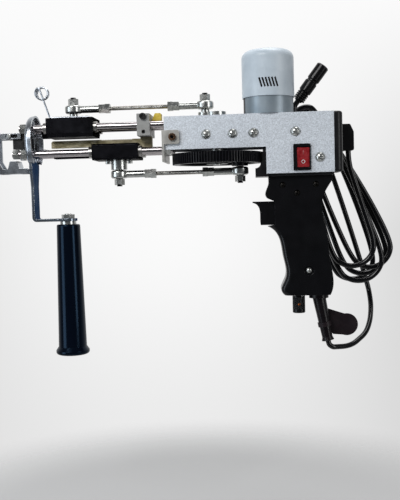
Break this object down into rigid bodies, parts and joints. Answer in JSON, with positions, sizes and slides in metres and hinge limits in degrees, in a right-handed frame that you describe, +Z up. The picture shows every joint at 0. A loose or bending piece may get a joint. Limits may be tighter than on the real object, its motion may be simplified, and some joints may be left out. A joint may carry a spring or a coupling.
{
  "type": "tufting tool",
  "caption": "Hand-held electric tufting tool: motor and large gear drive a hollow needle and scissors on guide rods, with pistol grip, side handle and coiled cord",
  "frame": {"origin": "middle of the pistol grip, where the hand holds it", "axes": "+X to the rear of the tool, +Z up to the motor, +Y away from the side with the rocker switch"},
  "size_m": [0.466, 0.1243, 0.3334],
  "materials": {
    "plate_metal": "sparkle paint",
    "cast_metal": "satin",
    "black_paint": "satin",
    "sheet_steel": "zinc coated",
    "steel": "satin",
    "black_steel": "blackened",
    "bright_rod": "polished",
    "brass_bar": "dull",
    "yellow_pad": "matte",
    "black_gloss": "glossy",
    "motor_paint": "satin",
    "can_paint": "satin",
    "black_plastic": "fine grain",
    "black_rubber": "matte",
    "black_nylon": "satin",
    "black_block": "anodised",
    "bush_steel": "satin",
    "red_plastic": "glossy",
    "cord_rubber": "satin",
    "tag_card": "matte"
  },
  "bodies": {
    "housing": {"near_side_plate": "plate_metal", "far_side_plate": "plate_metal", "gear_block": "cast_metal", "motor_mount": "cast_metal", "rear_cover": "black_paint", "inner_bracket": "black_paint", "rod_bracket": "sheet_steel", "housing_screws": "steel", "cap_screws": "black_steel", "ball_bearings": "steel", "guide_rods": "bright_rod", "hex_nuts": "steel", "clamp_block": "cast_metal", "cam_bar": "brass_bar", "bump_pad": "yellow_pad", "front_ring": "sheet_steel", "handle_arm": "sheet_steel", "handle_bolt": "steel", "side_handle": "black_gloss", "foot_block": "black_steel", "motor_can": "can_paint", "motor_cap": "motor_paint", "switch_bezel": "black_plastic", "near_grip_shell": "black_plastic", "far_grip_shell": "black_plastic", "trigger_switch": "black_plastic", "potentiometer": "black_plastic", "strain_relief": "black_rubber", "power_cord": "cord_rubber", "cord_hank": "cord_rubber", "plug_tail": "cord_rubber", "mains_plug": "cord_rubber", "connector_lead": "cord_rubber", "round_connector": "black_plastic", "cord_tag": "tag_card"},
    "foot": {"presser_foot": "sheet_steel"},
    "gear_train": {"main_gear": "black_nylon", "crank_shaft": "steel"},
    "rotor": {"motor_armature": "black_steel", "drive_pinion": "steel"},
    "needle_carriage": {"upper_slider": "black_block", "upper_bushes": "bush_steel", "yarn_eyelet": "steel", "needle": "bright_rod", "upper_slider_stud": "steel"},
    "upper_rod": {"upper_rod_ends": "steel", "upper_link_rod": "bright_rod", "upper_rod_fasteners": "steel"},
    "scissor_carriage": {"lower_slider": "black_block", "lower_bushes": "bush_steel", "fixed_blade": "bright_rod", "lower_slider_stud": "steel"},
    "scissor_blade": {"moving_blade": "bright_rod"},
    "lower_rod": {"lower_rod_ends": "steel", "lower_link_rod": "bright_rod", "lower_rod_fasteners": "steel"},
    "trigger_group": {"trigger": "black_gloss", "trigger_spring": "steel"},
    "rocker": {"switch_rocker": "red_plastic"},
    "knob": {"speed_knob": "black_plastic"}
  },
  "joints": [
    {"name": "gear_spin", "type": "hinge", "parent": "housing", "child": "gear_train", "pos_m": [-0.093, 0, 0.1], "axis": [0, 0, 1], "continuous": true},
    {"name": "rotor_spin", "type": "hinge", "parent": "housing", "child": "rotor", "pos_m": [-0.035, 0, 0.1], "axis": [0, 0, 1], "continuous": true},
    {"name": "needle_slide", "type": "slide", "parent": "housing", "child": "needle_carriage", "axis": [1, 0, 0], "range_m": [0, 0.024]},
    {"name": "upper_rod_swing", "type": "hinge", "parent": "needle_carriage", "child": "upper_rod", "pos_m": [-0.253, 0, 0.1525], "axis": [0, 0, 1], "range_deg": [-4.7, 4.7]},
    {"name": "scissor_slide", "type": "slide", "parent": "housing", "child": "scissor_carriage", "axis": [1, 0, 0], "range_m": [-0.05, 0]},
    {"name": "lower_rod_swing", "type": "hinge", "parent": "scissor_carriage", "child": "lower_rod", "pos_m": [-0.2035, 0, 0.07875], "axis": [0, 0, 1], "range_deg": [-10.7, 10.7]},
    {"name": "blade_swing", "type": "hinge", "parent": "scissor_carriage", "child": "scissor_blade", "pos_m": [-0.272, 0, 0.103], "axis": [0, 1, 0], "range_deg": [0, 8]},
    {"name": "foot_slide", "type": "slide", "parent": "housing", "child": "foot", "axis": [1, 0, 0], "range_m": [-0.008, 0.002]},
    {"name": "trigger_pull", "type": "slide", "parent": "housing", "child": "trigger_group", "axis": [1, 0, 0], "range_m": [0, 0.006], "stiffness_N_per_m": 700, "springref_m": -0.004},
    {"name": "switch_rock", "type": "hinge", "parent": "housing", "child": "rocker", "pos_m": [0.0005, -0.0242, 0.09065], "axis": [-1, 0, 0], "range_deg": [0, 18]},
    {"name": "speed_turn", "type": "hinge", "parent": "housing", "child": "knob", "pos_m": [-0.006, 0, -0.07], "axis": [0, 0, 1], "range_deg": [0, 280]}
  ],
  "couplings": [
    {"joint": "rotor_spin", "follows": "gear_spin", "ratio": -5.4444},
    {"joint": "blade_swing", "follows": "scissor_slide", "rad_per_m": -2.79}
  ]
}
